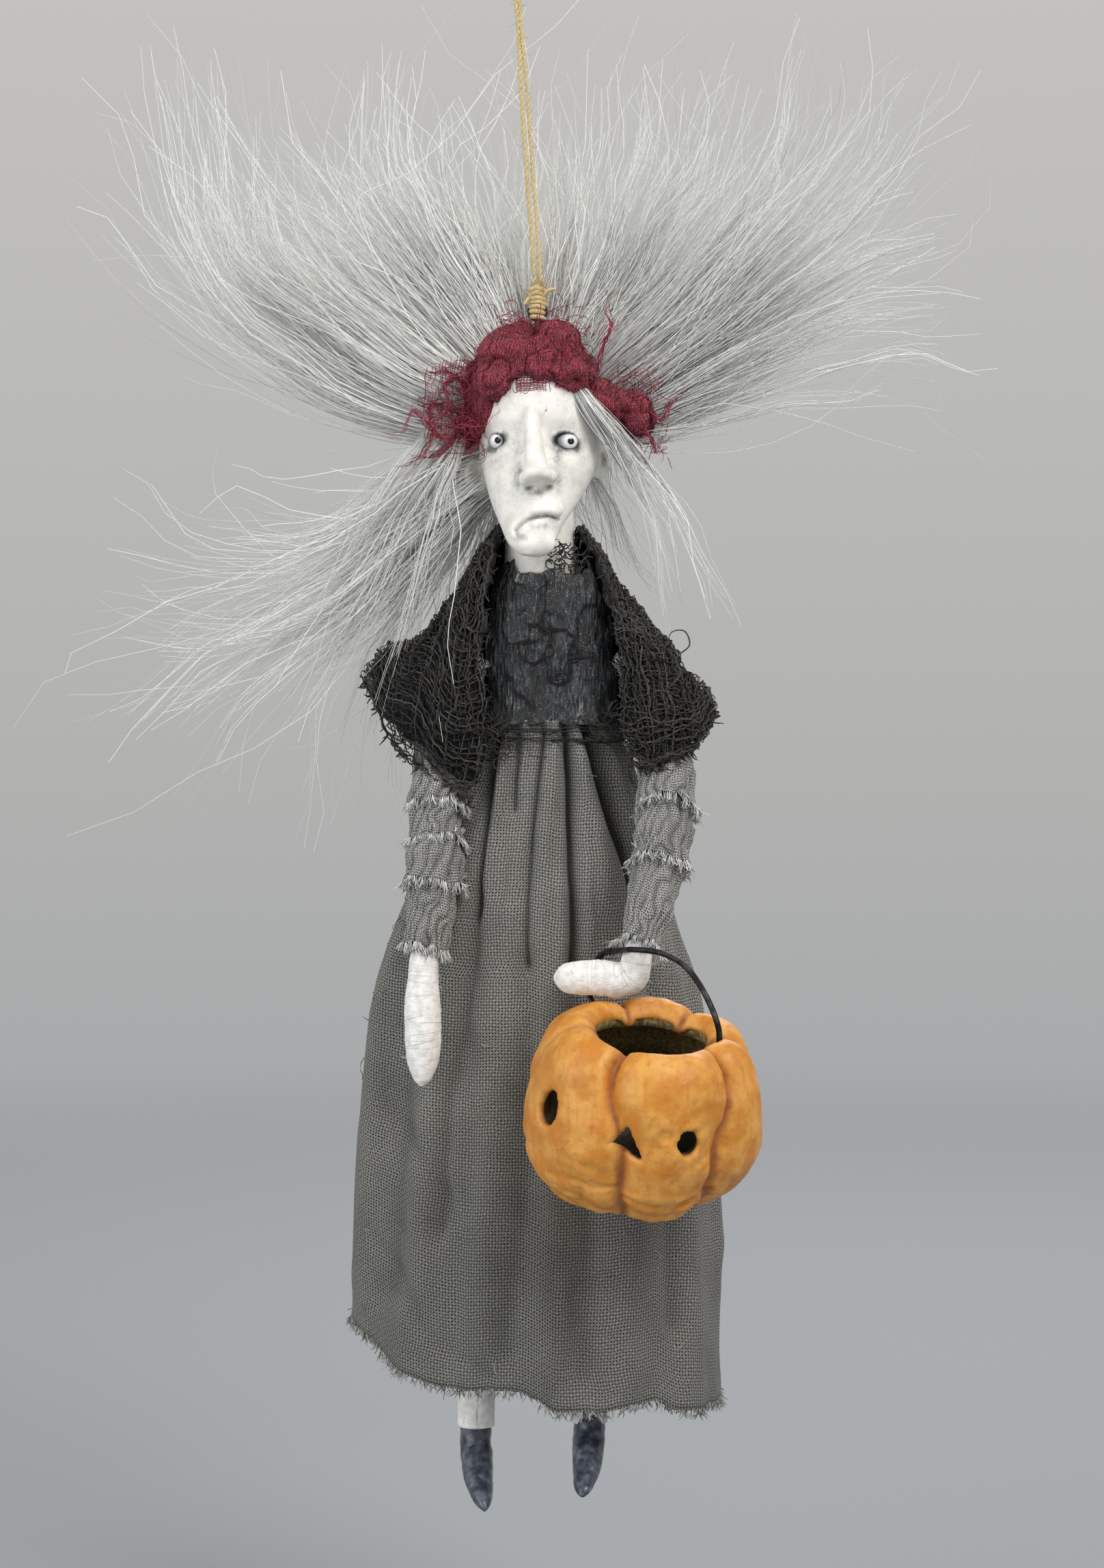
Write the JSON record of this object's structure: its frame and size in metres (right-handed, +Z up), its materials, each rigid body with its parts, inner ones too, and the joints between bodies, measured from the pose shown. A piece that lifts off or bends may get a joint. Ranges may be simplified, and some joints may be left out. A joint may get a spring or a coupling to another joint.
{
  "type": "hanging witch doll ornament",
  "caption": "Cloth-dressed hanging witch doll on a twine loop, with posable arms, swinging legs and a hollow pumpkin lantern on a wire bail.",
  "frame": {"origin": "where a hook bears in the top of the twine's loop", "axes": "+Z up, the doll faces -Y, +X to the viewer's right"},
  "size_m": [0.1583, 0.0791, 0.3049],
  "materials": {
    "twine": "natural jute, matt",
    "wire": "dark annealed wire",
    "armature": "soft wire under cloth",
    "clay": "painted white with a grey-blue wash",
    "bead": "glossy, with a dark pupil",
    "hair": "silver-white fibre, slight sheen",
    "scarf": "burgundy gauze, frayed",
    "shawl": "open charcoal net",
    "bodice": "painted, crinkled gauze",
    "linen": "coarse grey linen",
    "sleeve": "frayed grey linen strips",
    "fibre": "white fibre, wound",
    "wood": "plain, out of sight",
    "leg": "painted white",
    "boot": "glossy slate blue",
    "pumpkin": "painted orange ochre, brown in the grooves"
  },
  "bodies": {
    "doll": {"head": "clay", "eye_left": "bead", "eye_right": "bead", "neck_dowel": "wood", "crown_eye": "wire", "twine_knot": "twine", "hanging_twine": "twine", "head_scarf": "scarf", "hair_top": "hair", "hair_upper_left_inner": "hair", "hair_upper_left_outer": "hair", "hair_lower_left_upper": "hair", "hair_lower_left_lower": "hair", "hair_upper_right_inner": "hair", "hair_upper_right_outer": "hair", "hair_right": "hair", "hair_side_right": "hair", "hair_back": "hair", "torso_core": "wood", "shoulder_wire": "wire", "hip_wire": "wire", "bodice": "bodice", "shawl_collar": "shawl", "skirt": "linen"},
    "left_arm": {"arm_core_left": "armature", "sleeve_left_1": "sleeve", "sleeve_left_2": "sleeve", "sleeve_left_3": "sleeve", "sleeve_left_4": "sleeve", "hand_left": "fibre", "shawl_wing_left": "shawl"},
    "right_arm": {"arm_core_right": "armature", "sleeve_right_1": "sleeve", "sleeve_right_2": "sleeve", "sleeve_right_3": "sleeve", "sleeve_right_4": "sleeve", "hand_right": "fibre", "shawl_wing_right": "shawl"},
    "bail": {"lantern_bail": "wire"},
    "lantern": {"pumpkin": "pumpkin"},
    "left_leg": {"leg_left": "leg", "boot_left": "boot"},
    "right_leg": {"leg_right": "leg", "boot_right": "boot"}
  },
  "joints": [
    {"name": "left_shoulder", "type": "hinge", "parent": "doll", "child": "left_arm", "pos_m": [0.0074, 0, -0.1341], "axis": [-1, 0, 0], "range_deg": [0, 25]},
    {"name": "right_shoulder", "type": "hinge", "parent": "doll", "child": "right_arm", "pos_m": [0.0074, 0, -0.1341], "axis": [-1, 0, 0], "range_deg": [0, 25]},
    {"name": "bail_swing", "type": "hinge", "parent": "right_arm", "child": "bail", "pos_m": [0.01952, -0.03208, -0.19595], "axis": [-1, 0, 0], "range_deg": [0, 10]},
    {"name": "lantern_tilt", "type": "hinge", "parent": "bail", "child": "lantern", "pos_m": [0.02663, -0.0361, -0.21005], "axis": [-0.8489, 0.4734, 0.2349], "range_deg": [0, 15]},
    {"name": "left_hip", "type": "hinge", "parent": "doll", "child": "left_leg", "pos_m": [0.0074, 0, -0.1666], "axis": [-1, 0, 0], "range_deg": [-5, 5]},
    {"name": "right_hip", "type": "hinge", "parent": "doll", "child": "right_leg", "pos_m": [0.0074, 0, -0.1666], "axis": [-1, 0, 0], "range_deg": [-5, 5]}
  ]
}
